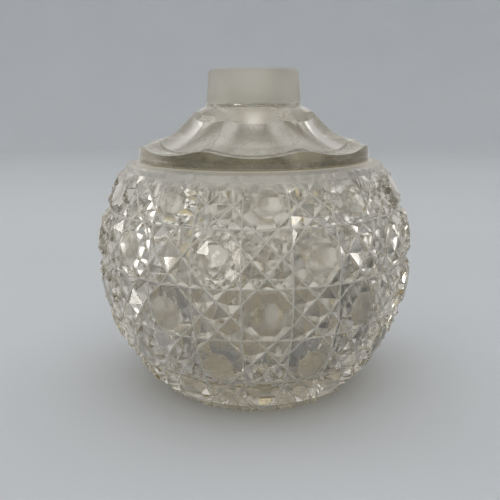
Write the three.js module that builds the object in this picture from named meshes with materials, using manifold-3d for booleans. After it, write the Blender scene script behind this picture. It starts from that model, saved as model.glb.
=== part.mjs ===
// Cut-glass powder jar: a globe bowl, all over cane cutting, under a loose cover.
// Millimetres, +Z up. The origin is the centre of the flat base the jar stands on.
import * as THREE from 'three';
import { mergeVertices } from 'three/addons/utils/BufferGeometryUtils.js';
import Module from 'manifold-3d';

// ---- driving dimensions -------------------------------------------------
const GLOBE_RADIUS = 50;            // over the tips of the cutting
const EQUATOR_Z = 42.0;             // height of the widest line
const LOWER_ARC_RADIUS = 55;        // slightly flatter curve from the equator to the base
const SHOULDER = [[39.2, 71.1], [38.2, 71.4]]; // plain rounding up to the seat

const COLUMNS = 22;                 // squares round the globe
const FRONT_COLUMN = 0.07;          // radians, a column's middle sits just off the front
const ROW_EDGES_Z = [0.8, 12.2, 27.3, 42.6, 58.6, 70.1];
const BUTTON_CORNER = 0.207;        // octagon corner along a side of a unit square
const BUTTON_TOP = 0.62;            // flat top of a button against its outline
const GROOVE_DEPTH = 2.0;
const SMALL_POINT_DEPTH = 1.1;      // the small three-sided points stay this far below the rest
const TOP_GROOVE_SHARE = 0.6;       // the cutting runs out to this share of its depth on top
const BASE_GROOVE_SHARE = 0.5;      // and to this share at the base
const TOP_TOOTH = [40.1, 70.8];      // radius and height of the last small points on top
const BASE_TOOTH = [31.3, 0];       // and of those round the base

const SEAT_Z = 71.7;                // ground ring that carries the cover
const SEAT_OUTER = 36.0;
const MOUTH_RADIUS = 31.5;
const MOUTH_FOOT_Z = 67.8;          // the mouth's straight wall ends here
const CAVITY_TOP_Z = 64.2;          // where the cavity's arc would meet the mouth
const CAVITY_RADIUS = 41.5;
const CAVITY_FLOOR_Z = 8;
const CAVITY_FLOOR_RADIUS = 25;
const CAVITY_FLOOR_FLAT = 22;
const CAVITY_LOWER_TURN = 0.93;     // share of a quarter turn before the floor's edge
const CAVITY_STEPS = 4;
const BASE_RADIUS = 30.0;           // between the teeth
const BASE_RECESS_RADIUS = 24;
const BASE_RECESS = 0.8;

const SEAM = 0.3;                   // gap between two resting pieces
const SKIRT_RADIUS = 35.8;
const SKIRT_Z = SEAT_Z + SEAM;
const FLANGE_OUTER = 30.8;          // ring under the cover that drops into the mouth
const FLANGE_INNER = 28.2;
const FLANGE_DROP = 2.7;
const FLUTES = 8;
const COLLAR_Z = 86.4;              // octagon under the neck
const FLARE_CENTRE = [40.6, 104.1]; // arc that the ridges follow, as radius and height
const FLARE_RADIUS = 27.7;
const FLARE_STEPS = 10;
const BLANK_RADIUS = 43;            // corners of the blank before its skirt is turned round
const SCOOP_CENTRE = [35.4, 93.6];  // arc of each flute's middle line
const SCOOP_RADIUS = 18.5;
const SCOOP_CROSS_RADIUS = 45;      // hollow of a flute across its width
const SCOOP_HALF_WIDTH = 17;
const SCOOP_TURNS = [0.60 * Math.PI, 0.08 * Math.PI]; // from past the skirt to above the collar
const SCOOP_THICKNESS = 9;
const NECK_BASE_RADIUS = 14.6;
const NECK_BASE_Z = 87.9;
const NECK_TOP_RADIUS = 13.9;
const NECK_TOP_Z = 99.1;
const NECK_EDGE = 1.2;              // rounding of the rim
const BORE_RADIUS = 9.4;
const WALL = 3.2;                   // of glass under the middle of a flute
const BORE_FOOT_Z = 84.2;           // the bore opens out into the hollow here
const HOLLOW_TURN = 0.17 * Math.PI; // where the hollow starts to follow the flutes
const HOLLOW_STEPS = 5;
const ROUND_STEPS = 48;
const PAST = 1;                     // how far joined or cut shapes run into each other

const COLUMN_TURN = 2 * Math.PI / COLUMNS;
const FIRST_EDGE = FRONT_COLUMN - COLUMN_TURN / 2;

const wasm = await Module();
wasm.setup();

// ---- small helpers ------------------------------------------------------
function meshGeometry(vertices, triangles) {
  const geometry = new THREE.BufferGeometry();
  geometry.setAttribute('position', new THREE.Float32BufferAttribute(vertices.flat(), 3));
  geometry.setIndex(triangles.flat());
  return geometry;
}

function toSolid(geometry) {
  const bare = geometry.clone();
  bare.deleteAttribute('normal');
  bare.deleteAttribute('uv');
  const welded = mergeVertices(bare, 1e-4);
  return new wasm.Manifold(new wasm.Mesh({
    numProp: 3,
    vertProperties: new Float32Array(welded.attributes.position.array),
    triVerts: new Uint32Array(welded.index.array),
  }));
}

function toGeometry(solid) {
  const mesh = solid.getMesh();
  const geometry = new THREE.BufferGeometry();
  geometry.setAttribute('position', new THREE.BufferAttribute(mesh.vertProperties, 3));
  geometry.setIndex(new THREE.BufferAttribute(mesh.triVerts, 1));
  return geometry;
}

// A turned shape about Z, from [radius, height] points that run upwards on the outside.
function turned(profile, steps) {
  const points = profile.map(([radius, z]) => new THREE.Vector2(radius, z));
  return new THREE.LatheGeometry(points, steps).rotateX(Math.PI / 2);
}

function polar(radius, angle, z) {
  return [radius * Math.sin(angle), -radius * Math.cos(angle), z];
}

// ---- the globe's outline, over the tips of the cutting -------------------
function globeRadius(z) {
  if (z >= EQUATOR_Z) {
    return Math.sqrt(GLOBE_RADIUS ** 2 - (z - EQUATOR_Z) ** 2);
  }
  const centre = GLOBE_RADIUS - LOWER_ARC_RADIUS;
  return centre + Math.sqrt(LOWER_ARC_RADIUS ** 2 - (EQUATOR_Z - z) ** 2);
}

function globeNormal(z) {
  if (z >= EQUATOR_Z) {
    return [globeRadius(z) / GLOBE_RADIUS, (z - EQUATOR_Z) / GLOBE_RADIUS];
  }
  const sine = (EQUATOR_Z - z) / LOWER_ARC_RADIUS;
  return [Math.sqrt(1 - sine * sine), -sine];
}

// column and row are counted in squares, depth is measured inwards from the outline
function globePoint(column, row, depth) {
  const whole = Math.min(Math.floor(row), ROW_EDGES_Z.length - 2);
  const low = ROW_EDGES_Z[whole];
  const z = low + (row - whole) * (ROW_EDGES_Z[whole + 1] - low);
  const [outward, upward] = globeNormal(z);
  const angle = FIRST_EDGE + column * COLUMN_TURN;
  return polar(globeRadius(z) - outward * depth, angle, z - upward * depth);
}

// ---- cane cutting: octagonal buttons among small pointed facets ----------
// Places in a unit square, measured from its middle.
const CORNER = BUTTON_CORNER;
const LEG = 0.5 - CORNER;                          // of the triangle left in each corner
const NEAR_EDGE = 0.5 - LEG * (1 - Math.SQRT1_2);  // middle of that triangle's inscribed circle

// a polygon and its copies at quarter turns
function quarterTurns(polygon) {
  const turns = [polygon];
  for (let i = 1; i < 4; i += 1) {
    turns.push(turns[i - 1].map(([x, y]) => [-y, x]));
  }
  return turns;
}

// each point is a pyramid: its apex, how deep that lies, and the outline it stands on
function points(apex, depth, outline) {
  return quarterTurns([apex, ...outline]).map(([top, ...rim]) => ({ top, depth, rim }));
}

const OCTAGON = quarterTurns([[0.5, CORNER], [CORNER, 0.5]]).flat();
const CORNER_OUTLINE = [[0.5, CORNER], [0.5, 0.5], [CORNER, 0.5]];
const CORNER_POINTS = points([NEAR_EDGE, NEAR_EDGE], SMALL_POINT_DEPTH, CORNER_OUTLINE);
const STAR_POINTS = [
  ...points([LEG, LEG], 0, [[LEG, 0], ...CORNER_OUTLINE, [0, LEG]]),
  ...points([0, NEAR_EDGE], SMALL_POINT_DEPTH, [[0, LEG], [CORNER, 0.5], [-CORNER, 0.5]]),
  { top: [0, 0], depth: 0, rim: [[LEG, 0], [0, LEG], [-LEG, 0], [0, -LEG]] },
];

function cutGlobe() {
  const vertices = [];
  const triangles = [];
  const seen = new Map();
  const topRow = ROW_EDGES_Z.length - 1;

  function vertex(column, row, depth) {
    const wrapped = (column + COLUMNS) % COLUMNS;
    const key = [wrapped, row, depth].map((value) => value.toFixed(3)).join();
    if (!seen.has(key)) {
      seen.set(key, vertices.length);
      vertices.push(globePoint(wrapped, row, depth));
    }
    return seen.get(key);
  }
  // the cutting runs out towards the plain glass above and below it
  function grooveVertex(column, row) {
    const onBase = row < 1e-6;
    const onTop = row > topRow - 1e-6;
    const share = onTop ? TOP_GROOVE_SHARE : onBase ? BASE_GROOVE_SHARE : 1;
    return vertex(column, row, GROOVE_DEPTH * share);
  }

  for (let row = 0; row < topRow; row += 1) {
    for (let column = 0; column < COLUMNS; column += 1) {
      const middle = [column + 0.5, row + 0.5];
      const place = ([x, y]) => [middle[0] + x, middle[1] + y];
      const isButton = (row + column) % 2 === 0;
      for (const point of isButton ? CORNER_POINTS : STAR_POINTS) {
        const apex = vertex(...place(point.top), point.depth);
        const rim = point.rim.map((p) => grooveVertex(...place(p)));
        rim.forEach((at, i) => triangles.push([at, rim[(i + 1) % rim.length], apex]));
      }
      if (isButton) {
        const rim = OCTAGON.map((p) => grooveVertex(...place(p)));
        const top = OCTAGON.map(([x, y]) => vertex(...place([x * BUTTON_TOP, y * BUTTON_TOP]), 0));
        for (let i = 0; i < 8; i += 1) {
          const next = (i + 1) % 8;
          triangles.push([rim[i], rim[next], top[next]], [rim[i], top[next], top[i]]);
          if (i > 0 && i < 7) {
            triangles.push([top[0], top[i], top[next]]);
          }
        }
      }
    }
  }

  // rings of plain glass join the top of the cutting to the base, through the mouth
  const rings = [];
  const stations = [];
  for (let column = 0; column < COLUMNS; column += 1) {
    stations.push(column, column + 0.5 - CORNER, column + 0.5 + CORNER);
  }
  const addRing = (at) => rings.push(stations.map(at));
  const plainRing = ([radius, z]) => addRing((column) => {
    vertices.push(polar(radius, FIRST_EDGE + column * COLUMN_TURN, z));
    return vertices.length - 1;
  });
  addRing((column) => grooveVertex(column, topRow));
  SHOULDER.forEach(plainRing);
  plainRing([SEAT_OUTER, SEAT_Z]);
  plainRing([MOUTH_RADIUS, SEAT_Z]);
  cavityProfile().forEach(plainRing);
  const floor = rings.length - 1;
  const recess = rings.length;
  plainRing([BASE_RECESS_RADIUS - BASE_RECESS, BASE_RECESS]);
  plainRing([BASE_RECESS_RADIUS, 0]);
  plainRing([BASE_RADIUS, 0]);
  addRing((column) => grooveVertex(column, 0));

  const count = stations.length;
  const cutTop = 0;
  const foot = rings.length - 2;
  // small points stand between the grooves where the cutting ends
  const teeth = (lower, upper, [radius, z]) => lower.forEach((_, i) => {
    const next = (i + 1) % count;
    const column = (stations[i] + (stations[i + 1] ?? COLUMNS)) / 2;
    vertices.push(polar(radius, FIRST_EDGE + column * COLUMN_TURN, z));
    const tip = vertices.length - 1;
    const rim = [lower[i], lower[next], upper[next], upper[i]];
    rim.forEach((at, side) => triangles.push([at, rim[(side + 1) % rim.length], tip]));
  });
  teeth(rings[cutTop], rings[cutTop + 1], TOP_TOOTH);
  teeth(rings[foot], rings[foot + 1], BASE_TOOTH);
  for (let ring = 0; ring < rings.length - 1; ring += 1) {
    if ([cutTop, floor, foot].includes(ring)) {
      continue;
    }
    for (let i = 0; i < count; i += 1) {
      const next = (i + 1) % count;
      const [lower, upper] = [rings[ring], rings[ring + 1]];
      triangles.push([lower[i], lower[next], upper[next]], [lower[i], upper[next], upper[i]]);
    }
  }
  const cap = (ring, z, up) => {
    vertices.push([0, 0, z]);
    const centre = vertices.length - 1;
    ring.forEach((at, i) => {
      const next = ring[(i + 1) % count];
      triangles.push(up ? [at, next, centre] : [next, at, centre]);
    });
  };
  cap(rings[floor], CAVITY_FLOOR_Z, true);
  cap(rings[recess], BASE_RECESS, false);
  return meshGeometry(vertices, triangles);
}

// inside wall of the bowl, from the foot of the mouth down to its floor
function cavityProfile() {
  const wall = [[MOUTH_RADIUS, MOUTH_FOOT_Z]];
  const top = Math.acos(MOUTH_RADIUS / CAVITY_RADIUS);
  const rise = (CAVITY_TOP_Z - EQUATOR_Z) / Math.sin(top);
  for (let step = 1; step <= CAVITY_STEPS; step += 1) {
    const angle = top * (1 - step / CAVITY_STEPS);
    wall.push([CAVITY_RADIUS * Math.cos(angle), EQUATOR_Z + rise * Math.sin(angle)]);
  }
  const depth = EQUATOR_Z - CAVITY_FLOOR_Z;
  for (let step = 1; step <= CAVITY_STEPS; step += 1) {
    const angle = step / CAVITY_STEPS * Math.PI / 2 * CAVITY_LOWER_TURN;
    const shrink = (CAVITY_RADIUS - CAVITY_FLOOR_RADIUS) * (1 - Math.cos(angle));
    wall.push([CAVITY_RADIUS - shrink, EQUATOR_Z - depth * Math.sin(angle)]);
  }
  wall.push([CAVITY_FLOOR_FLAT, CAVITY_FLOOR_Z]);
  return wall;
}

// ---- cover: octagonal flare with eight scooped flutes, and a ground neck --
function arcPoint([radius, z], reach, angle) {
  return [radius - reach * Math.cos(angle), z - reach * Math.sin(angle)];
}

// Eight plain panels whose corners follow the flare's arc, wider than the skirt at the foot.
function flare() {
  const foot = Math.PI / 2;
  const collar = Math.asin((FLARE_CENTRE[1] - COLLAR_Z) / FLARE_RADIUS);
  const sections = [
    [0, SKIRT_Z],
    [BLANK_RADIUS, SKIRT_Z],
    [BLANK_RADIUS, FLARE_CENTRE[1] - FLARE_RADIUS],
  ];
  for (let step = 1; step <= FLARE_STEPS; step += 1) {
    const turn = foot + (collar - foot) * step / FLARE_STEPS;
    sections.push(arcPoint(FLARE_CENTRE, FLARE_RADIUS, turn));
  }
  sections.push([NECK_BASE_RADIUS, NECK_BASE_Z], [0, NECK_BASE_Z]);
  return turned(sections, FLUTES).rotateZ(Math.PI / FLUTES);
}

// The glass one wheel takes out: its middle line is an arc, its width is hollow.
function scoop(angle) {
  const along = 12;
  const across = 6;
  const vertices = [];
  const triangles = [];
  const layer = (along + 1) * (across + 1);
  const [from, to] = SCOOP_TURNS;
  for (const lift of [0, SCOOP_THICKNESS]) {
    for (let i = 0; i <= along; i += 1) {
      const turn = from + (to - from) * i / along;
      for (let j = 0; j <= across; j += 1) {
        const side = SCOOP_HALF_WIDTH * (2 * j / across - 1);
        const reach = SCOOP_RADIUS - side * side / (2 * SCOOP_CROSS_RADIUS) - lift;
        const [radius, z] = arcPoint(SCOOP_CENTRE, reach, turn);
        vertices.push([side, -radius, z]);
      }
    }
  }
  const at = (i, j, top) => top * layer + i * (across + 1) + j;
  const quad = (a, b, c, d) => triangles.push([a, b, c], [a, c, d]);
  for (let i = 0; i < along; i += 1) {
    for (let j = 0; j < across; j += 1) {
      quad(at(i, j, 0), at(i + 1, j, 0), at(i + 1, j + 1, 0), at(i, j + 1, 0));
      quad(at(i, j, 1), at(i, j + 1, 1), at(i + 1, j + 1, 1), at(i + 1, j, 1));
    }
    quad(at(i, 0, 0), at(i, 0, 1), at(i + 1, 0, 1), at(i + 1, 0, 0));
    quad(at(i, across, 0), at(i + 1, across, 0), at(i + 1, across, 1), at(i, across, 1));
  }
  for (let j = 0; j < across; j += 1) {
    quad(at(0, j, 0), at(0, j + 1, 0), at(0, j + 1, 1), at(0, j, 1));
    quad(at(along, j, 0), at(along, j, 1), at(along, j + 1, 1), at(along, j + 1, 0));
  }
  return meshGeometry(vertices, triangles).rotateZ(angle);
}

function skirt() {
  const outline = [[0, SKIRT_Z], [SKIRT_RADIUS, SKIRT_Z], [SKIRT_RADIUS, NECK_BASE_Z], [0, NECK_BASE_Z]];
  return turned(outline, 64);
}

function neck() {
  const shave = NECK_EDGE * (1 - Math.SQRT1_2); // halfway round the rim's edge
  return turned([
    [0, NECK_BASE_Z - PAST],
    [NECK_BASE_RADIUS, NECK_BASE_Z - PAST],
    [NECK_BASE_RADIUS, NECK_BASE_Z],
    [NECK_TOP_RADIUS, NECK_TOP_Z - NECK_EDGE],
    [NECK_TOP_RADIUS - shave, NECK_TOP_Z - shave],
    [NECK_TOP_RADIUS - NECK_EDGE, NECK_TOP_Z],
    [0, NECK_TOP_Z],
  ], ROUND_STEPS);
}

function flange() {
  return turned([
    [0, SKIRT_Z - FLANGE_DROP],
    [FLANGE_OUTER, SKIRT_Z - FLANGE_DROP],
    [FLANGE_OUTER, SKIRT_Z + PAST],
    [0, SKIRT_Z + PAST],
  ], ROUND_STEPS);
}

// everything open inside: the flange's ring, a hollow that follows the flutes, and the bore
function coverHollow() {
  const outline = [[0, SKIRT_Z - FLANGE_DROP - PAST], [FLANGE_INNER, SKIRT_Z - FLANGE_DROP - PAST]];
  const reach = SCOOP_RADIUS + WALL;
  const foot = Math.acos((SCOOP_CENTRE[0] - FLANGE_INNER) / reach);
  for (let step = 0; step <= HOLLOW_STEPS; step += 1) {
    const turn = foot + (HOLLOW_TURN - foot) * step / HOLLOW_STEPS;
    outline.push(arcPoint(SCOOP_CENTRE, reach, turn));
  }
  outline.push([BORE_RADIUS, BORE_FOOT_Z], [BORE_RADIUS, NECK_TOP_Z + PAST], [0, NECK_TOP_Z + PAST]);
  return turned(outline, ROUND_STEPS);
}

function cover() {
  let body = toSolid(flare()).intersect(toSolid(skirt()));
  for (let flute = 0; flute < FLUTES; flute += 1) {
    body = body.subtract(toSolid(scoop(2 * Math.PI * flute / FLUTES)));
  }
  body = body.add(toSolid(neck())).add(toSolid(flange()));
  return toGeometry(body.subtract(toSolid(coverHollow())));
}

// ---- the two pieces ------------------------------------------------------
function piece(name, geometry, colour, roughness) {
  const finish = { color: colour, roughness, metalness: 0, flatShading: true };
  const material = new THREE.MeshStandardMaterial(finish);
  const mesh = new THREE.Mesh(geometry, material);
  mesh.name = name;
  return mesh;
}

const group = new THREE.Group();
group.add(piece('jar_bowl', cutGlobe(), 0xc9c6ba, 0.08));
group.add(piece('jar_cover', cover(), 0xbdbab0, 0.35));
export default group;
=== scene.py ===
"""Cut-glass powder jar: the looks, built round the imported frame.

The shape functions work in millimetres, and the frame's sizes are turned into them once.
Every mesh is written in metres, as are the stage, its lamps and the camera.
"""
import math
import random

import bpy
from mathutils import Matrix, Vector


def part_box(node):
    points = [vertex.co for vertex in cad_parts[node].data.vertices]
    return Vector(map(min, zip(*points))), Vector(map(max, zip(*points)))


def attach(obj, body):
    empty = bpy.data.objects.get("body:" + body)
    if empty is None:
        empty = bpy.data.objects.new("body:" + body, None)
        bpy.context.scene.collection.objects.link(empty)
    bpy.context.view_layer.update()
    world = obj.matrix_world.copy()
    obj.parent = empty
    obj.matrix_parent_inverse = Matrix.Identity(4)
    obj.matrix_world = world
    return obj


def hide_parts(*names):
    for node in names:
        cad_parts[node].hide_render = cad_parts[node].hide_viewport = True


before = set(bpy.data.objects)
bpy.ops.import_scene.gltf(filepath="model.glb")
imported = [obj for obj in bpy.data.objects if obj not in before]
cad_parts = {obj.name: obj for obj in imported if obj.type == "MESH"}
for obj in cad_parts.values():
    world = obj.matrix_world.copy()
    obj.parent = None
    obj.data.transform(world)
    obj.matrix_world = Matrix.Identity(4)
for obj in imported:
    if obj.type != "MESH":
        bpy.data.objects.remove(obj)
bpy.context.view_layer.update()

MM = 0.001

# ---- sizes read from the frame ------------------------------------------
bowl_low, bowl_high = (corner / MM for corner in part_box("jar_bowl"))
cover_low, cover_high = (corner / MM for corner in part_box("jar_cover"))

GLOBE_RADIUS = min(bowl_high.x, bowl_high.y, -bowl_low.x, -bowl_low.y)
SEAT_Z = bowl_high.z
SKIRT_RADIUS = cover_high.x
FLANGE_Z = cover_low.z
NECK_TOP_Z = cover_high.z

# ---- sizes the box can't tell -------------------------------------------
EQUATOR_Z = 42.0
LOWER_ARC_RADIUS = 55.0
SHOULDER = ((39.2, 71.1), (38.2, 71.4))
SEAT_OUTER = 36.0
MOUTH_RADIUS = 31.5
MOUTH_FOOT_Z = 67.8
CAVITY_TOP_Z = 64.2
CAVITY_RADIUS = 41.5
CAVITY_FLOOR_Z = 8.0
CAVITY_FLOOR_RADIUS = 25.0
CAVITY_FLOOR_FLAT = 22.0
CAVITY_LOWER_TURN = 0.93  # of a quarter turn, where the wall meets the floor
BASE_RADIUS = 30.0
BASE_RECESS_RADIUS = 24.0
BASE_RECESS = 0.8
BASE_RECESS_EDGE = 1.0
MOUTH_EDGE = 0.4
SEAT_LINE = (37.0, SEAT_Z - 0.14)  # where the ground seat meets the rubbed shoulder

COLUMNS = 22
FRONT_COLUMN = 0.07       # radians, how far the front square stands off the front
ROW_EDGES_Z = (0.8, 12.2, 27.3, 42.6, 58.6, 70.1)
BUTTON_CORNER = 0.207     # of a square, half an octagon's side
BUTTON_TOP = 0.62         # of the octagon, its flat top
GROOVE_DEPTH = 2.0
SMALL_POINT_DEPTH = 1.1
TOP_GROOVE_SHARE = 0.6    # of the groove's depth, at the shoulder
BASE_GROOVE_SHARE = 0.5   # and at the foot
TOP_TOOTH = (40.1, 70.8)
BASE_TOOTH = (31.3, 0.0)
TOP_TOOTH_UNEVEN = 0.35   # how far a tooth may be chipped back
BASE_TOOTH_UNEVEN = 1.1
TOOTH_PROUD = 0.1
HAND_SEED = 11
HAND_WOBBLE = 0.010       # of a square, how far a cut wanders
NOWHERE = 0.001           # of a square, too little to count
GROOVE_CHANNEL = 0.23
BOWL_EDGE = 0.06
BOWL_FACET_ANGLE = 22     # degrees, above which an edge shows
BOWL_SOFT_ANGLE = 28

SEAM = 0.3
SKIRT_Z = SEAT_Z + SEAM
SKIRT_EDGE = 0.25
FLANGE_OUTER = 30.8
FLANGE_INNER = 28.2
FLANGE_EDGE = 0.3
FLUTES = 8
FLARE_CENTRE = (40.6, 104.1)
FLARE_RADIUS = 27.7
COLLAR_Z = 86.4
SCOOP_CENTRE = (35.4, 93.6)
SCOOP_RADIUS = 18.5
SCOOP_CROSS_RADIUS = 45.0
SOFT_RIDGE = 0.14     # how far polishing rounds the ridges between flutes
ARCH_LIMIT = 28.5     # the flutes' upper edges all lie inside this radius
PANEL_LIFT = 0.1      # how far a panel may stand over its flute
FLUTE_CROWDING = 1.4  # draws a flute's rows together towards its arch
NECK_BASE_RADIUS = 14.6
NECK_BASE_Z = 87.9
NECK_TOP_RADIUS = 13.9
NECK_EDGE = 1.2
NECK_FILLET = 1.2
NECK_SINK = 0.25      # how far the neck's fillet starts inside the collar
BORE_RADIUS = 9.4
BORE_EDGE = 0.6
WALL = 3.2            # of glass under the middle of a flute
BORE_FOOT_Z = 84.2
HOLLOW_TURN = 0.17 * math.pi
COVER_EDGE = 0.16
COVER_FACET_ANGLE = 24

# ---- material slots: 0 is polished glass and 2 an inside wall on both -----
POLISHED_SLOT = 0
INNER_SLOT = 2
GROOVE_SLOT = 1       # the bowl's own
SHOULDER_SLOT = 3
FOOT_SLOT = 4
SEAT_SLOT = 5
NECK_SLOT = 1         # the cover's own
JOINT_SLOT = 3
EDGE_SLOT = 4
LAND_SLOT = 5

# ---- the glass itself ---------------------------------------------------
GLASS_TINT = (1.0, 0.996, 0.985, 1)
GLASS_DEPTH_COLOUR = (0.78, 0.735, 0.56, 1)
GLASS_DENSITY = 3.0   # per metre, how fast thickness darkens it
GLASS_IOR = 1.53
GLASS_SHADOW = (0.95, 0.94, 0.92, 1)
GROUND_FROM_Z = 89.2  # the neck is frosted above this
GROUND_SOFT = 0.5
GROUND_RAGGED = 0.6
HAZE_FROM_Z = 68.3    # the cut glass is rubbed hazy above this
HAZE_SOFT = 2.6
HAZE_RAGGED = 3.0
HAZE_ROUGHNESS = 0.3
HAZE_CLEAR_SHARE = 0.86

# ---- the stage, in metres, and the strength of each side of the room ------
STAGE_FLAT = 0.9
STAGE_CURVE = 0.5
STAGE_WALL = 1.6
STAGE_SIDES = 96
JAR_CENTRE = (0, 0, 0.05)
ROOM_COLOUR = (1.0, 0.98, 0.93, 1)
ROOM_FLOOR = 0.39
ROOM_WALL = 0.64      # behind the jar and overhead
ROOM_NEAR = 0.40      # on the camera's side
ROOM_LEFT = 0.55
ROOM_RIGHT = 0.34

# ---- the camera, in globe radii and radians where nothing else is said ----
CAMERA_BACK = 4.2
CAMERA_UP = 1.839
CAMERA_DOWN = math.radians(13.39)
CAMERA_ASIDE = -0.0068
CAMERA_TILT = -0.0062
CAMERA_SENSOR = 36    # millimetres
CAMERA_LENS = 47.3

COLUMN_TURN = 2 * math.pi / COLUMNS
FIRST_EDGE = FRONT_COLUMN - COLUMN_TURN / 2


# ---- mesh helpers --------------------------------------------------------
def polar(radius, angle, z):
    return (radius * math.sin(angle), -radius * math.cos(angle), z)


def make_piece(name, rings):
    mesh = bpy.data.meshes.new(name)
    mesh.from_pydata([Vector(v) * MM for v in rings.vertices], [], rings.faces)
    mesh.polygons.foreach_set("use_smooth", rings.smooth)
    mesh.polygons.foreach_set("material_index", rings.slots)
    mesh.validate()
    piece = bpy.data.objects.new(name, mesh)
    bpy.context.scene.collection.objects.link(piece)
    return piece


def soften_edges(piece, width, angle):
    """Rounds every edge sharper than angle in degrees, as polishing does."""
    bevel = piece.modifiers.new("soft_edges", "BEVEL")
    bevel.width = width * MM
    bevel.segments = 2
    bevel.limit_method = "ANGLE"
    bevel.angle_limit = math.radians(angle)
    bevel.miter_outer = "MITER_SHARP"
    bevel.harden_normals = True


class Rings:
    """Faces built up from rings of vertices round the axis, each on the current slot."""

    def __init__(self):
        self.vertices = []
        self.faces = []
        self.smooth = []
        self.slots = []
        self.slot = POLISHED_SLOT

    def add(self, points):
        start = len(self.vertices)
        self.vertices.extend(points)
        return list(range(start, len(self.vertices)))

    def face(self, corners, smooth=False):
        self.faces.append(tuple(corners))
        self.smooth.append(smooth)
        self.slots.append(self.slot)

    def join(self, lower, upper):
        count = len(lower)
        for i in range(count):
            j = (i + 1) % count
            self.face((lower[i], lower[j], upper[j], upper[i]), True)

    def cap(self, ring, point, up):
        centre = self.add([point])[0]
        count = len(ring)
        for i in range(count):
            j = (i + 1) % count
            self.face((ring[i], ring[j], centre) if up else (ring[j], ring[i], centre), True)


# ---- bowl: cane cutting on a globe --------------------------------------
def globe_radius(z):
    if z >= EQUATOR_Z:
        return math.sqrt(GLOBE_RADIUS**2 - (z - EQUATOR_Z) ** 2)
    centre = GLOBE_RADIUS - LOWER_ARC_RADIUS
    return centre + math.sqrt(LOWER_ARC_RADIUS**2 - (EQUATOR_Z - z) ** 2)


def globe_normal(z):
    if z >= EQUATOR_Z:
        return globe_radius(z) / GLOBE_RADIUS, (z - EQUATOR_Z) / GLOBE_RADIUS
    sine = (EQUATOR_Z - z) / LOWER_ARC_RADIUS
    return math.sqrt(1 - sine * sine), -sine


def globe_point(column, row, depth):
    """column and row count squares; depth is measured inwards from the outline."""
    whole = min(max(int(row), 0), len(ROW_EDGES_Z) - 2)
    low, high = ROW_EDGES_Z[whole : whole + 2]
    z = low + (row - whole) * (high - low)
    outward, upward = globe_normal(z)
    angle = FIRST_EDGE + column * COLUMN_TURN
    return polar(globe_radius(z) - outward * depth, angle, z - upward * depth)


CORNER = BUTTON_CORNER
LEG = 0.5 - CORNER  # of the triangle left in each corner of a button's square
NEAR_EDGE = 0.5 - LEG * (1 - math.sqrt(0.5))  # middle of that triangle's inscribed circle
CORNER_OUTLINE = [(0.5, CORNER), (0.5, 0.5), (CORNER, 0.5)]


def quarter_turns(polygon):
    turns = [polygon]
    for _ in range(3):
        turns.append([(-y, x) for x, y in turns[-1]])
    return turns


OCTAGON = sum(quarter_turns([(0.5, CORNER), (CORNER, 0.5)]), [])


def four_points(apex, depth, outline):
    """A pyramid and its copies at quarter turns, as (apex, depth, outline)."""
    return [(turned[0], depth, turned[1:]) for turned in quarter_turns([apex] + outline)]


CORNER_POINTS = four_points((NEAR_EDGE, NEAR_EDGE), SMALL_POINT_DEPTH, CORNER_OUTLINE)
STAR_POINTS = (
    four_points((LEG, LEG), 0.0, [(LEG, 0)] + CORNER_OUTLINE + [(0, LEG)])
    + four_points((0, NEAR_EDGE), SMALL_POINT_DEPTH, [(0, LEG), (CORNER, 0.5), (-CORNER, 0.5)])
    + [((0, 0), 0.0, [(LEG, 0), (0, LEG), (-LEG, 0), (0, -LEG)])]
)


def cavity_wall():
    """Inside of the bowl from under the mouth to the edge of its floor."""
    steps = 14
    wall = [(MOUTH_RADIUS, MOUTH_FOOT_Z)]
    top = math.acos(MOUTH_RADIUS / CAVITY_RADIUS)
    rise = (CAVITY_TOP_Z - EQUATOR_Z) / math.sin(top)
    for step in range(1, steps + 1):
        angle = top * (1 - step / steps)
        wall.append((CAVITY_RADIUS * math.cos(angle), EQUATOR_Z + rise * math.sin(angle)))
    depth = EQUATOR_Z - CAVITY_FLOOR_Z
    for step in range(1, steps + 1):
        angle = step / steps * math.pi / 2 * CAVITY_LOWER_TURN
        shrink = (CAVITY_RADIUS - CAVITY_FLOOR_RADIUS) * (1 - math.cos(angle))
        wall.append((CAVITY_RADIUS - shrink, EQUATOR_Z - depth * math.sin(angle)))
    wall.append((CAVITY_FLOOR_FLAT, CAVITY_FLOOR_Z))
    wall.append((CAVITY_FLOOR_RADIUS / 2, CAVITY_FLOOR_Z))
    return wall


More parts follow.
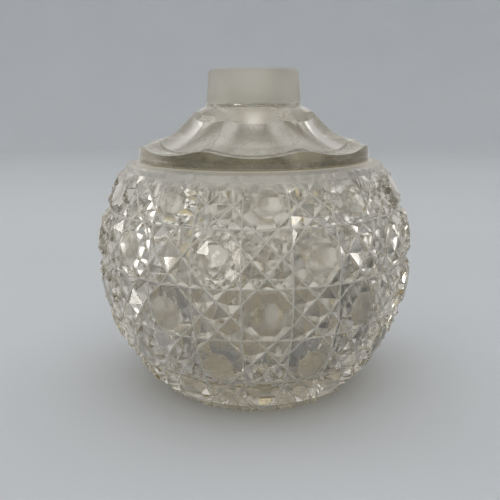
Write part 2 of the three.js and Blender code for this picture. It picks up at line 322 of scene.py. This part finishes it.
def build_bowl():
    rings = Rings()
    hand = random.Random(HAND_SEED)
    seen = {}
    groove_vertices = set()
    top_row = len(ROW_EDGES_Z) - 1

    def vertex(column, row, depth):
        column %= COLUMNS
        key = (round(column, 3) % COLUMNS, round(row, 3), round(depth, 2))
        if key not in seen:
            inside = 10 * NOWHERE < row < top_row - 10 * NOWHERE
            wander = HAND_WOBBLE if inside else 0.0
            seen[key] = rings.add([
                globe_point(
                    column + hand.gauss(0, wander), row + hand.gauss(0, wander), depth
                )
            ])[0]
        return seen[key]

    def groove(column, row):
        share = 1.0
        if row < NOWHERE:
            share = BASE_GROOVE_SHARE
        if row > top_row - NOWHERE:
            share = TOP_GROOVE_SHARE
        made = vertex(column, row, GROOVE_DEPTH * share)
        if row < top_row - NOWHERE:
            groove_vertices.add(made)
        return made

    for row in range(top_row):
        for column in range(COLUMNS):
            is_button = (row + column) % 2 == 0

            def place(point, shrink=1.0):
                return column + 0.5 + point[0] * shrink, row + 0.5 + point[1] * shrink

            for apex, depth, outline in CORNER_POINTS if is_button else STAR_POINTS:
                tip = vertex(*place(apex), depth)
                rim = [groove(*place(p)) for p in outline]
                for i, corner in enumerate(rim):
                    rings.face((corner, rim[(i + 1) % len(rim)], tip))
            if is_button:
                rim = [groove(*place(p)) for p in OCTAGON]
                crown = [vertex(*place(p, BUTTON_TOP), 0.0) for p in OCTAGON]
                inner = [vertex(*place(p, BUTTON_TOP / 2), 0.0) for p in OCTAGON]
                middle = vertex(*place((0, 0)), 0.0)
                for i in range(8):
                    j = (i + 1) % 8
                    rings.face((rim[i], rim[j], crown[j], crown[i]))
                    rings.face((crown[i], crown[j], inner[j], inner[i]), True)
                    rings.face((inner[i], inner[j], middle), True)

    stations = []
    for column in range(COLUMNS):
        stations += [column, column + 0.5 - CORNER, column + 0.5 + CORNER]

    def plain(radius, z):
        return rings.add([polar(radius, FIRST_EDGE + s * COLUMN_TURN, z) for s in stations])

    cut_top = [groove(s, top_row) for s in stations]
    cut_bottom = [groove(s, 0) for s in stations]
    upper = [cut_top] + [plain(*point) for point in SHOULDER]
    seat_row = len(upper) - 1
    upper += [plain(*SEAT_LINE), plain(SEAT_OUTER, SEAT_Z)]
    upper.append(plain(MOUTH_RADIUS + MOUTH_EDGE, SEAT_Z))
    upper.append(plain(MOUTH_RADIUS, SEAT_Z - MOUTH_EDGE))

    def teeth(lower, upper, radius, z, uneven):
        """Small points between two rings, where the grooves break out."""
        for i, station in enumerate(stations):
            j = (i + 1) % len(stations)
            middle = (station + (stations[j] or COLUMNS)) / 2
            turn = FIRST_EDGE + middle * COLUMN_TURN
            reach = radius + hand.uniform(-uneven, TOOTH_PROUD)
            tip = rings.add([polar(reach, turn, z)])[0]
            rim = (lower[i], lower[j], upper[j], upper[i])
            for side, corner in enumerate(rim):
                rings.face((corner, rim[(side + 1) % 4], tip))

    teeth(upper[0], upper[1], *TOP_TOOTH, TOP_TOOTH_UNEVEN)
    for i, (below, over) in enumerate(zip(upper[1:], upper[2:])):
        rings.slot = SEAT_SLOT if i >= seat_row else SHOULDER_SLOT
        rings.join(below, over)
    rings.slot = INNER_SLOT
    inner = [upper[-1]] + [plain(radius, z) for radius, z in cavity_wall()]
    for below, over in zip(inner, inner[1:]):
        rings.join(below, over)
    rings.cap(inner[-1], (0, 0, CAVITY_FLOOR_Z), True)
    rings.slot = FOOT_SLOT
    lower = [plain(BASE_RECESS_RADIUS - BASE_RECESS_EDGE, BASE_RECESS)]
    lower += [plain(BASE_RECESS_RADIUS, 0), plain(BASE_RADIUS, 0), cut_bottom]
    for below, over in zip(lower[:-1], lower[1:-1]):
        rings.join(below, over)
    rings.cap(lower[0], (0, 0, BASE_RECESS), False)
    teeth(lower[-2], lower[-1], *BASE_TOOTH, BASE_TOOTH_UNEVEN)
    piece = make_piece("cut_bowl", rings)
    piece.data.set_sharp_from_angle(angle=math.radians(BOWL_FACET_ANGLE))
    grind_grooves(piece, groove_vertices)
    soften_edges(piece, BOWL_EDGE, BOWL_SOFT_ANGLE)
    return piece


def grind_grooves(piece, groove_vertices):
    """Opens the bottom of every groove into a narrow round channel, as the wheel leaves it."""
    mesh = piece.data
    weight = mesh.attributes.new("bevel_weight_edge", "FLOAT", "EDGE")
    for edge in mesh.edges:
        both = all(vertex in groove_vertices for vertex in edge.vertices)
        weight.data[edge.index].value = 1.0 if both else 0.0
    channel = piece.modifiers.new("groove_channels", "BEVEL")
    channel.width = GROOVE_CHANNEL * MM
    channel.segments = 3
    channel.limit_method = "WEIGHT"
    channel.material = GROOVE_SLOT
    channel.harden_normals = True


# ---- cover: octagonal flare, eight scooped flutes, ground neck -----------
HALF_FLUTE = math.pi / FLUTES


def panel_z(radius, turn):
    """Height of a plain panel of the flare; turn is measured from its middle."""
    ridge = radius * math.cos(turn) / math.cos(HALF_FLUTE)
    reach = FLARE_RADIUS**2 - (FLARE_CENTRE[0] - ridge) ** 2
    return FLARE_CENTRE[1] - math.sqrt(max(reach, 0.0))


def scoop_z(radius, turn):
    """Height of the wheel-cut hollow in that panel."""
    out, side = radius * math.cos(turn), radius * math.sin(turn)
    reach = (SCOOP_RADIUS - side * side / (2 * SCOOP_CROSS_RADIUS)) ** 2
    reach -= (out - SCOOP_CENTRE[0]) ** 2
    return SCOOP_CENTRE[1] - math.sqrt(max(reach, 0.0))


def collar_radius(turn):
    """Where the flare starts, on the collar's flat sides."""
    rise = FLARE_CENTRE[1] - COLLAR_Z
    corner = FLARE_CENTRE[0] - math.sqrt(FLARE_RADIUS**2 - rise**2)
    return corner * math.cos(HALF_FLUTE) / math.cos(turn)


def arch_radius(turn):
    """Where the hollow cuts into the panel, found by halving."""
    near, far = collar_radius(turn), ARCH_LIMIT
    for _ in range(40):
        middle = (near + far) / 2
        if scoop_z(middle, turn) > panel_z(middle, turn):
            near = middle
        else:
            far = middle
    return far


def fluted_z(radius, turn):
    """Height of the flutes: the lowest of this flute and its neighbour, with soft ridges."""
    beyond = turn - math.copysign(2 * HALF_FLUTE, turn)
    heights = [panel_z(radius, turn), scoop_z(radius, turn)]
    heights += [panel_z(radius, beyond), scoop_z(radius, beyond)]
    lowest = min(heights)
    shared = sum(math.exp((lowest - z) / SOFT_RIDGE) for z in heights)
    return lowest - SOFT_RIDGE * math.log(shared)


def build_cover():
    rings = Rings()
    across = 28  # columns in one flute, closest together near its ridges
    turns = []
    for flute in range(FLUTES):
        for step in range(across):
            share = math.sin(math.pi / 2 * (2 * step / across - 1))
            turns.append((2 * HALF_FLUTE * flute, HALF_FLUTE * share))

    def ring(radius_and_z):
        points = []
        for centre, turn in turns:
            radius, z = radius_and_z(turn)
            points.append(polar(radius, centre + turn, z))
        return rings.add(points)

    def round_ring(radius, z):
        return ring(lambda turn: (radius, z))

    def flute(share):
        def at(turn):
            inner, outer = arch_radius(turn), SKIRT_RADIUS
            radius = inner + (outer - inner) * share
            return radius, fluted_z(radius, turn)
        return at

    def facet(share):
        def at(turn):
            inner, outer = collar_radius(turn), arch_radius(turn)
            radius = inner + (outer - inner) * share
            return radius, min(panel_z(radius, turn), fluted_z(radius, turn) + PANEL_LIFT)
        return at

    rows = [round_ring(FLANGE_OUTER - FLANGE_EDGE, FLANGE_Z)]
    rows.append(round_ring(FLANGE_OUTER, FLANGE_Z + FLANGE_EDGE))
    rows.append(round_ring(FLANGE_OUTER, SKIRT_Z))
    rows.append(round_ring(SKIRT_RADIUS - SKIRT_EDGE, SKIRT_Z))
    edge_row = len(rows) - 1
    rows.append(round_ring(SKIRT_RADIUS, SKIRT_Z + SKIRT_EDGE))
    steps = 26
    for step in range(steps, -1, -1):
        rows.append(ring(flute((step / steps) ** FLUTE_CROWDING)))
    for share in (0.66, 0.33, 0.0):
        rows.append(ring(facet(share)))
    fillet = 5
    for step in range(fillet + 1):
        angle = step / fillet * math.pi / 2
        rows.append(round_ring(
            NECK_BASE_RADIUS + NECK_FILLET * (1 - math.sin(angle)),
            NECK_BASE_Z - NECK_SINK + NECK_FILLET * (1 - math.cos(angle)),
        ))
    neck_row = len(rows) - 1
    sides = 6
    rim_z = NECK_TOP_Z - NECK_EDGE
    foot_z = NECK_BASE_Z + NECK_FILLET
    for step in range(1, sides + 1):
        share = step / sides
        radius = NECK_BASE_RADIUS + (NECK_TOP_RADIUS - NECK_BASE_RADIUS) * share
        rows.append(round_ring(radius, foot_z + (rim_z - foot_z) * share))
    edge = 6
    for step in range(1, edge + 1):
        angle = step / edge * math.pi / 2
        rows.append(round_ring(
            NECK_TOP_RADIUS - NECK_EDGE * (1 - math.cos(angle)),
            rim_z + NECK_EDGE * math.sin(angle),
        ))
    rim_row = len(rows) - 1
    bore_edge = 3
    for step in range(bore_edge + 1):
        angle = step / bore_edge * math.pi / 2
        rows.append(round_ring(
            BORE_RADIUS + BORE_EDGE * (1 - math.sin(angle)),
            NECK_TOP_Z - BORE_EDGE * (1 - math.cos(angle)),
        ))
    bore_top_z = NECK_TOP_Z - BORE_EDGE
    bore = 4
    for step in range(1, bore + 1):
        z = bore_top_z + (BORE_FOOT_Z - bore_top_z) * step / bore
        rows.append(round_ring(BORE_RADIUS, z))
    bore_row = len(rows) - 1
    reach = SCOOP_RADIUS + WALL
    foot = math.acos((SCOOP_CENTRE[0] - FLANGE_INNER) / reach)
    hollow = 16
    for step in range(hollow + 1):
        turn = HOLLOW_TURN + (foot - HOLLOW_TURN) * step / hollow
        rows.append(round_ring(
            SCOOP_CENTRE[0] - reach * math.cos(turn),
            SCOOP_CENTRE[1] - reach * math.sin(turn),
        ))
    rows.append(round_ring(FLANGE_INNER, FLANGE_Z))
    first_rows = (
        (0, JOINT_SLOT),
        (edge_row, EDGE_SLOT),
        (edge_row + 1, LAND_SLOT),
        (edge_row + 2, POLISHED_SLOT),
        (neck_row, NECK_SLOT),
        (rim_row, POLISHED_SLOT),
        (bore_row, INNER_SLOT),
        (len(rows) - 2, JOINT_SLOT),
    )
    for i, (below, over) in enumerate(zip(rows, rows[1:])):
        rings.slot = [slot for first, slot in first_rows if i >= first][-1]
        rings.join(below, over)
    rings.join(rows[-1], rows[0])
    piece = make_piece("fluted_cover", rings)
    piece.data.set_sharp_from_angle(angle=math.radians(COVER_FACET_ANGLE))
    soften_edges(piece, COVER_EDGE, COVER_FACET_ANGLE)
    return piece


# ---- materials: noise scales are per metre --------------------------------
def new_material(name):
    material = bpy.data.materials.new(name)
    material.use_nodes = True
    tree = material.node_tree
    return material, tree, tree.nodes["Principled BSDF"]


def noise(tree, scale, detail, coordinates):
    node = tree.nodes.new("ShaderNodeTexNoise")
    node.inputs["Scale"].default_value = scale
    node.inputs["Detail"].default_value = detail
    tree.links.new(coordinates, node.inputs["Vector"])
    return node.outputs["Fac"]


def ramp(tree, value, low, high, to_low, to_high):
    node = tree.nodes.new("ShaderNodeMapRange")
    node.inputs["From Min"].default_value = low
    node.inputs["From Max"].default_value = high
    node.inputs["To Min"].default_value = to_low
    node.inputs["To Max"].default_value = to_high
    tree.links.new(value, node.inputs["Value"])
    return node.outputs["Result"]


def math_node(tree, operation, a, b):
    node = tree.nodes.new("ShaderNodeMath")
    node.operation = operation
    for socket, value in zip(node.inputs, (a, b)):
        if isinstance(value, (int, float)):
            socket.default_value = value
        else:
            tree.links.new(value, socket)
    return node.outputs[0]


def mixed_colour(tree, shader, mask, off, on):
    """The shader takes one colour where the mask is 0 and another where it is 1."""
    mix = tree.nodes.new("ShaderNodeMix")
    mix.data_type = "RGBA"
    mix.inputs["A"].default_value = off
    mix.inputs["B"].default_value = on
    tree.links.new(mask, mix.inputs["Factor"])
    tree.links.new(mix.outputs["Result"], shader.inputs["Base Color"])


def let_light_through(tree, shader, tint):
    """Lamp and floor light passes straight through, so the glass casts a soft pale shadow."""
    rays = tree.nodes.new("ShaderNodeLightPath").outputs
    either = math_node(tree, "MAXIMUM", rays["Is Shadow Ray"], rays["Is Diffuse Ray"])
    clear = tree.nodes.new("ShaderNodeBsdfTransparent")
    clear.inputs["Color"].default_value = tint
    mix = tree.nodes.new("ShaderNodeMixShader")
    tree.links.new(either, mix.inputs[0])
    tree.links.new(shader.outputs[0], mix.inputs[1])
    tree.links.new(clear.outputs[0], mix.inputs[2])
    tree.links.new(mix.outputs[0], tree.nodes["Material Output"].inputs["Surface"])


def height_mask(tree, place, level, soft, ragged):
    """0 below a height and 1 above it, with a slightly ragged edge. Heights in millimetres."""
    split = tree.nodes.new("ShaderNodeSeparateXYZ")
    tree.links.new(place, split.inputs[0])
    uneven = math_node(tree, "MULTIPLY", noise(tree, 260, 3, place), ragged * MM)
    height = math_node(tree, "ADD", split.outputs["Z"], uneven)
    return ramp(tree, height, level * MM, (level + soft) * MM, 0, 1)


def glass(name, tint):
    """Clear glass that darkens with thickness, and the place that its other nodes read."""
    material, tree, shader = new_material(name)
    shader.inputs["Transmission Weight"].default_value = 1.0
    shader.inputs["IOR"].default_value = GLASS_IOR
    shader.inputs["Base Color"].default_value = tint
    inside = tree.nodes.new("ShaderNodeVolumeAbsorption")
    inside.inputs["Color"].default_value = GLASS_DEPTH_COLOUR
    inside.inputs["Density"].default_value = GLASS_DENSITY
    tree.links.new(inside.outputs[0], tree.nodes["Material Output"].inputs["Volume"])
    let_light_through(tree, shader, GLASS_SHADOW)
    return material, tree, shader, tree.nodes.new("ShaderNodeTexCoord").outputs["Object"]


def set_relief(tree, shader, pattern, height):
    """Relief that follows a pattern of 0 to 1. Its full height is in metres."""
    bump = tree.nodes.new("ShaderNodeBump")
    bump.inputs["Strength"].default_value = 1.0
    bump.inputs["Distance"].default_value = 1.0
    tree.links.new(math_node(tree, "MULTIPLY", pattern, height), bump.inputs["Height"])
    tree.links.new(bump.outputs[0], shader.inputs["Normal"])


def polished_glass(name, hazy_top=False):
    """Polished glass with faint handling marks. The bowl's is rubbed hazy near its top."""
    material, tree, shader, place = glass(name, GLASS_TINT)
    rough = ramp(tree, noise(tree, 90, 4, place), 0.45, 0.75, 0.01, 0.06)
    if hazy_top:
        haze = height_mask(tree, place, HAZE_FROM_Z, HAZE_SOFT, HAZE_RAGGED)
        rubbed = math_node(tree, "MULTIPLY", haze, HAZE_ROUGHNESS)
        rough = math_node(tree, "MAXIMUM", rough, rubbed)
        clear_share = ramp(tree, haze, 0.0, 1.0, 1.0, HAZE_CLEAR_SHARE)
        tree.links.new(clear_share, shader.inputs["Transmission Weight"])
    tree.links.new(rough, shader.inputs["Roughness"])
    set_relief(tree, shader, noise(tree, 160, 2, place), 0.00002)
    return material


def polished_land():
    """The skirt's edge: polished, with painted shade: long dark olive patches painted into its
    colour, where its thick glass looks dark.
    """
    material, tree, shader, place = glass("skirt_land", GLASS_TINT)
    # painted shade: noise picks long dark olive patches on the land's colour, between patches of
    # pale glass colour
    patches = ramp(tree, noise(tree, 38, 2, place), 0.5, 0.62, 0.0, 1.0)
    mixed_colour(tree, shader, patches, (0.27, 0.265, 0.205, 1), (1.0, 0.97, 0.88, 1))
    shader.inputs["Roughness"].default_value = 0.05
    return material


def matt_glass(name, tint, clear_share, grain_size, low, high):
    """Ground or worn glass. Low and high are the roughness of its patches."""
    material, tree, shader, place = glass(name, tint)
    shader.inputs["Transmission Weight"].default_value = clear_share
    worn = noise(tree, grain_size, 4, place)
    tree.links.new(ramp(tree, worn, 0.3, 0.7, low, high), shader.inputs["Roughness"])
    set_relief(tree, shader, noise(tree, 4500, 3, place), 0.00002)
    return material


def worn_foot_with_painted_glow():
    """The foot: scratched by years of standing, with a painted warm cream glow in patches of its
    colour.
    """
    material, tree, shader, place = glass("worn_foot_with_painted_glow", GLASS_TINT)
    # painted light: cream patches brighten the foot's colour where the real foot glows warm
    painted_glow = ramp(tree, noise(tree, 130, 5, place), 0.4, 0.6, 0.0, 1.0)
    mixed_colour(tree, shader, painted_glow, (1.0, 0.93, 0.74, 1), (0.84, 0.83, 0.77, 1))
    shader.inputs["Transmission Weight"].default_value = 0.6
    scratched = noise(tree, 300, 4, place)
    tree.links.new(ramp(tree, scratched, 0.3, 0.7, 0.15, 0.45), shader.inputs["Roughness"])
    set_relief(tree, shader, noise(tree, 420, 4, place), 0.00018)
    return material


def ground_neck():
    """The neck: frosted and a little soiled, but for a clear ring at its foot."""
    material, tree, shader, place = glass("ground_neck", GLASS_TINT)
    handled = ramp(tree, noise(tree, 75, 4, place), 0.4, 0.62, 0.0, 1.0)
    mixed_colour(tree, shader, handled, (1.0, 0.99, 0.92, 1), (0.94, 0.92, 0.84, 1))
    shader.inputs["Transmission Weight"].default_value = 0.72
    mask = height_mask(tree, place, GROUND_FROM_Z, GROUND_SOFT, GROUND_RAGGED)
    grain = noise(tree, 5200, 3, place)
    frost = math_node(tree, "MULTIPLY", mask, ramp(tree, grain, 0.3, 0.7, 0.42, 0.62))
    tree.links.new(math_node(tree, "MAXIMUM", frost, 0.03), shader.inputs["Roughness"])
    set_relief(tree, shader, math_node(tree, "MULTIPLY", grain, mask), 0.00006)
    return material


def dulled_wall(name, low, high):
    """An inside wall dulled by years of powder. Low and high are as in matt_glass."""
    material, tree, shader, place = glass(name, GLASS_TINT)
    dusty = noise(tree, 55, 5, place)
    tree.links.new(ramp(tree, dusty, 0.35, 0.7, low, high), shader.inputs["Roughness"])
    set_relief(tree, shader, noise(tree, 150, 3, place), 0.00016)
    return material


# ---- stage: floor, sweep, lights, camera ----------------------------------
def paper_material():
    material, tree, shader = new_material("pale_floor")
    place = tree.nodes.new("ShaderNodeTexCoord").outputs["Object"]
    mottle = noise(tree, 9, 5, place)
    mixed_colour(tree, shader, mottle, (0.60, 0.63, 0.67, 1), (0.66, 0.685, 0.72, 1))
    shader.inputs["Roughness"].default_value = 0.9
    return material


def build_sweep():
    """A round floor that curves up into a wall all round."""
    profile = [(0.02, 0.0), (0.3, 0.0), (STAGE_FLAT, 0.0)]
    curve = 12
    for step in range(1, curve + 1):
        angle = step / curve * math.pi / 2
        profile.append((
            STAGE_FLAT + STAGE_CURVE * math.sin(angle),
            STAGE_CURVE * (1 - math.cos(angle)),
        ))
    profile.append((STAGE_FLAT + STAGE_CURVE, STAGE_WALL))
    turns = [2 * math.pi * i / STAGE_SIDES for i in range(STAGE_SIDES)]
    rings = Rings()
    rows = [
        rings.add([polar(radius / MM, turn, z / MM) for turn in turns])
        for radius, z in profile
    ]
    for inner, outer in zip(rows, rows[1:]):
        rings.join(outer, inner)
    rings.cap(rows[0], (0, 0, 0), True)
    sweep = make_piece("sweep", rings)
    sweep.data.materials.append(paper_material())
    sweep.visible_transmission = False
    sweep.visible_glossy = False


def soft_box(name, place, size, power, colour):
    """A lamp aimed at the jar. Power is in watts."""
    data = bpy.data.lights.new(name, "AREA")
    data.shape = "RECTANGLE"
    data.size, data.size_y = size
    data.energy = power
    data.color = colour
    light = bpy.data.objects.new(name, data)
    bpy.context.scene.collection.objects.link(light)
    light.location = place
    aim = Vector(JAR_CENTRE) - Vector(place)
    light.rotation_euler = aim.to_track_quat("-Z", "Y").to_euler()
    light.visible_camera = False
    return light


def room_light(tree):
    """A plain room: pale all round and overhead, dimmer below, near the camera and aside."""
    place = tree.nodes.new("ShaderNodeTexCoord").outputs["Generated"]
    split = tree.nodes.new("ShaderNodeSeparateXYZ")
    tree.links.new(place, split.inputs[0])
    walls = ramp(tree, split.outputs["Z"], -0.35, -0.08, ROOM_FLOOR, ROOM_WALL)
    near = ramp(tree, split.outputs["Y"], -0.3, 0.9, ROOM_WALL - ROOM_NEAR, 0.0)
    right = ramp(tree, split.outputs["X"], 0.25, 0.75, 0.0, ROOM_WALL - ROOM_RIGHT)
    left = ramp(tree, split.outputs["X"], -0.75, -0.25, ROOM_WALL - ROOM_LEFT, 0.0)
    sides = math_node(tree, "MAXIMUM", left, right)
    dark = math_node(tree, "MAXIMUM", near, sides)
    return math_node(tree, "SUBTRACT", walls, dark)


def light_studio():
    """Windows aside, a ceiling, a key beside the camera and a fill that only lights matt things."""
    soft_box(
        "left_window", place=(-0.9, 0.35, 0.45), size=(0.3, 0.7),
        power=0.9, colour=(1.0, 0.97, 0.90),
    )
    soft_box(
        "right_window", place=(0.9, 0.45, 0.40), size=(0.25, 0.6),
        power=0.6, colour=(1.0, 0.97, 0.92),
    )
    soft_box(
        "ceiling", place=(0.0, -0.1, 1.2), size=(1.6, 1.6),
        power=5.4, colour=(1.0, 0.98, 0.94),
    )
    soft_box(
        "front_key", place=(-0.95, -1.1, 0.5), size=(0.5, 0.5),
        power=8.0, colour=(1.0, 0.97, 0.90),
    )
    fill = soft_box(
        "stage_fill", place=(0.0, 0.0, 1.3), size=(1.2, 1.2),
        power=2.2, colour=(1.0, 1.0, 1.0),
    )
    fill.visible_glossy = False
    fill.visible_transmission = False
    world = bpy.data.worlds.new("room")
    world.use_nodes = True
    background = world.node_tree.nodes["Background"]
    background.inputs["Color"].default_value = ROOM_COLOUR
    world.node_tree.links.new(room_light(world.node_tree), background.inputs["Strength"])
    bpy.context.scene.world = world


def add_camera():
    """Stands where the photographer did, a few jar widths off and looking a little down."""
    radius = GLOBE_RADIUS * MM
    level = Vector((math.sin(CAMERA_ASIDE), math.cos(CAMERA_ASIDE), 0))
    right = Vector((math.cos(CAMERA_ASIDE), -math.sin(CAMERA_ASIDE), 0))
    ahead = level * math.cos(CAMERA_DOWN) - Vector((0, 0, math.sin(CAMERA_DOWN)))
    over = level * math.sin(CAMERA_DOWN) + Vector((0, 0, math.cos(CAMERA_DOWN)))
    across = right * math.cos(CAMERA_TILT) + over * math.sin(CAMERA_TILT)
    upright = over * math.cos(CAMERA_TILT) - right * math.sin(CAMERA_TILT)
    data = bpy.data.cameras.new("camera")
    data.sensor_width = CAMERA_SENSOR
    data.lens = CAMERA_LENS
    data.clip_start = 0.01
    camera = bpy.data.objects.new("camera", data)
    bpy.context.scene.collection.objects.link(camera)
    turn = Matrix((across, upright, -ahead)).transposed().to_4x4()
    place = Matrix.Translation((0, -CAMERA_BACK * radius, CAMERA_UP * radius))
    camera.matrix_world = place @ turn
    bpy.context.scene.camera = camera


def set_light_paths():
    """Enough bounces for light to cross the doubled walls of the glass."""
    cycles = bpy.context.scene.cycles
    cycles.max_bounces = 32
    cycles.transmission_bounces = 32
    cycles.glossy_bounces = 16
    cycles.diffuse_bounces = 4
    cycles.sample_clamp_indirect = 6.0
    cycles.use_denoising = True
    bpy.context.scene.view_settings.view_transform = "Standard"


# ---- the jar, piece by piece ----------------------------------------------
cut_line = matt_glass(
    "wheel_cut_lines", tint=(0.95, 0.93, 0.88, 1), clear_share=0.6,
    grain_size=700, low=0.25, high=0.6,
)

bowl = build_bowl()
for material in (
    polished_glass("polished_cut_glass", hazy_top=True),
    cut_line,
    dulled_wall("powder_dulled_wall", low=0.09, high=0.2),
    matt_glass(
        "rubbed_shoulder", tint=(1.0, 0.98, 0.92, 1), clear_share=0.76,
        grain_size=420, low=0.25, high=0.45,
    ),
    worn_foot_with_painted_glow(),
    matt_glass(
        "ground_seat", tint=(1.0, 0.98, 0.92, 1), clear_share=0.4,
        grain_size=500, low=0.3, high=0.5,
    ),
):
    bowl.data.materials.append(material)
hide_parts("jar_bowl")
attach(bowl, "bowl")

cover = build_cover()
for material in (
    polished_glass("polished_cover_glass"),
    ground_neck(),
    dulled_wall("powder_dulled_dome", low=0.2, high=0.36),
    matt_glass(
        "ground_joint", tint=(0.96, 0.95, 0.9, 1), clear_share=0.92,
        grain_size=500, low=0.2, high=0.4,
    ),
    cut_line,
    polished_land(),
):
    cover.data.materials.append(material)
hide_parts("jar_cover")
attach(cover, "cover")

build_sweep()
light_studio()
add_camera()
set_light_paths()
